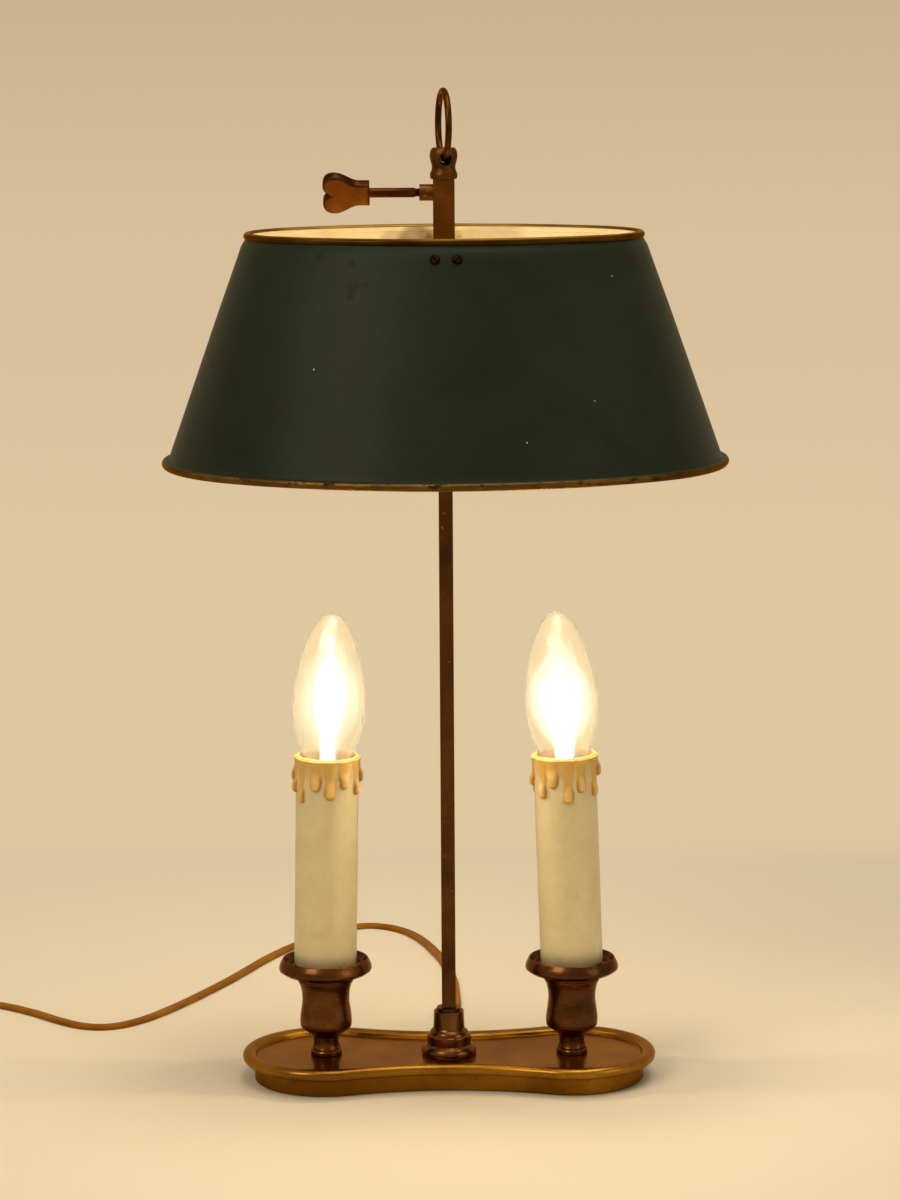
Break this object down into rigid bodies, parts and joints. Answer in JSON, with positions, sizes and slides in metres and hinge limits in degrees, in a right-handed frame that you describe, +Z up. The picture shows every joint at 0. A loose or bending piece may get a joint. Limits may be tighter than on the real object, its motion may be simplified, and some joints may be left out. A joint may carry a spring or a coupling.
{
  "type": "bouillotte lamp",
  "caption": "Table lamp with candle lights on a long lobed tray and an oval metal shade that slides on a square stem, locked by a heart-shaped key.",
  "frame": {"origin": "middle of the base's underside, on the table", "axes": "+Z up along the stem, +X to the lamp's right along the tray, +Y to its back, where the cord leaves"},
  "size_m": [0.4876, 0.3833, 0.4621],
  "materials": {
    "rim_brass": "aged, half polished",
    "brass_patina": "dark patina",
    "key_copper": "copper-brown patina",
    "raw_brass": "plain",
    "steel": "plain",
    "shade_green": "dark green paint outside, cream inside",
    "bead_gold": "worn gold paint",
    "candle_ivory": "waxy ivory with ochre runs",
    "bulb_glass": "clear",
    "bulb_inner": "glass stem with wires",
    "phenolic": "moulded",
    "brown_plastic": "moulded, satin",
    "block_white": "moulded",
    "cord_amber": "amber, slightly clear",
    "tie_dark": "plain",
    "felt": "felt"
  },
  "bodies": {
    "stand": {"base_tray": "rim_brass", "base_skirt": "rim_brass", "bottom_plate": "steel", "bottom_screws": "steel", "plate_posts": "raw_brass", "felt_pad": "felt", "stem_rod": "brass_patina", "stem_collar": "brass_patina", "stem_bush": "brass_patina", "stem_washer": "steel", "stem_nut": "steel", "finial": "brass_patina", "candle_cup_left": "brass_patina", "candle_cup_right": "brass_patina", "nipples": "raw_brass", "nipple_nuts": "steel", "bracket_left": "steel", "bracket_right": "steel", "holder_left": "phenolic", "holder_right": "phenolic", "shell_left": "raw_brass", "shell_right": "raw_brass", "contact_left": "raw_brass", "contact_right": "raw_brass", "candle_sleeve_left": "candle_ivory", "candle_sleeve_right": "candle_ivory", "cord_gland": "brown_plastic", "cord_grip": "brown_plastic", "grip_screws": "steel", "terminal_block": "block_white", "cord_tail": "cord_amber", "wires": "block_white", "cord_free": "cord_amber", "cord_link": "cord_amber", "cord_coil": "cord_amber", "cord_lead": "cord_amber", "cord_tie": "tie_dark", "switch_base": "brown_plastic", "switch_cover": "brown_plastic", "switch_screws": "steel", "plug_body": "brown_plastic", "plug_pins": "raw_brass"},
    "shade_slider": {"slider_tube": "brass_patina", "clamp_boss": "brass_patina", "shade_strap": "brass_patina", "shade_body": "shade_green", "shade_top_bead": "bead_gold", "shade_bottom_bead": "bead_gold", "shade_screws": "brass_patina", "shade_nuts": "raw_brass"},
    "key": {"clamp_key": "key_copper"},
    "ring": {"carrying_ring": "key_copper"},
    "bulb_left": {"bulb_glass_left": "bulb_glass", "bulb_cap_left": "raw_brass", "bulb_filament_left": "bulb_inner"},
    "bulb_right": {"bulb_glass_right": "bulb_glass", "bulb_cap_right": "raw_brass", "bulb_filament_right": "bulb_inner"},
    "rocker": {"switch_rocker": "brown_plastic"}
  },
  "joints": [
    {"name": "shade_slide", "type": "slide", "parent": "stand", "child": "shade_slider", "axis": [0, 0, 1], "range_m": [-0.17, 0]},
    {"name": "key_turn", "type": "hinge", "parent": "shade_slider", "child": "key", "pos_m": [-0.02, 0, 0.4149], "axis": [-1, 0, 0], "range_deg": [0, 540]},
    {"name": "ring_tilt", "type": "hinge", "parent": "stand", "child": "ring", "pos_m": [0, 0, 0.43], "axis": [-0.1564, 0.9877, 0], "range_deg": [-80, 80]},
    {"name": "bulb_left_turn", "type": "hinge", "parent": "stand", "child": "bulb_left", "pos_m": [-0.05571, 0, 0.15498], "axis": [0.0401, 0, 0.9992], "range_deg": [0, 900]},
    {"name": "bulb_right_turn", "type": "hinge", "parent": "stand", "child": "bulb_right", "pos_m": [0.05448, 0, 0.15513], "axis": [-0.0593, 0, 0.9982], "range_deg": [0, 900]},
    {"name": "rocker_tip", "type": "hinge", "parent": "stand", "child": "rocker", "pos_m": [-0.29, 0.135, 0.0125], "axis": [0, 1, 0], "range_deg": [-16, 0]}
  ]
}
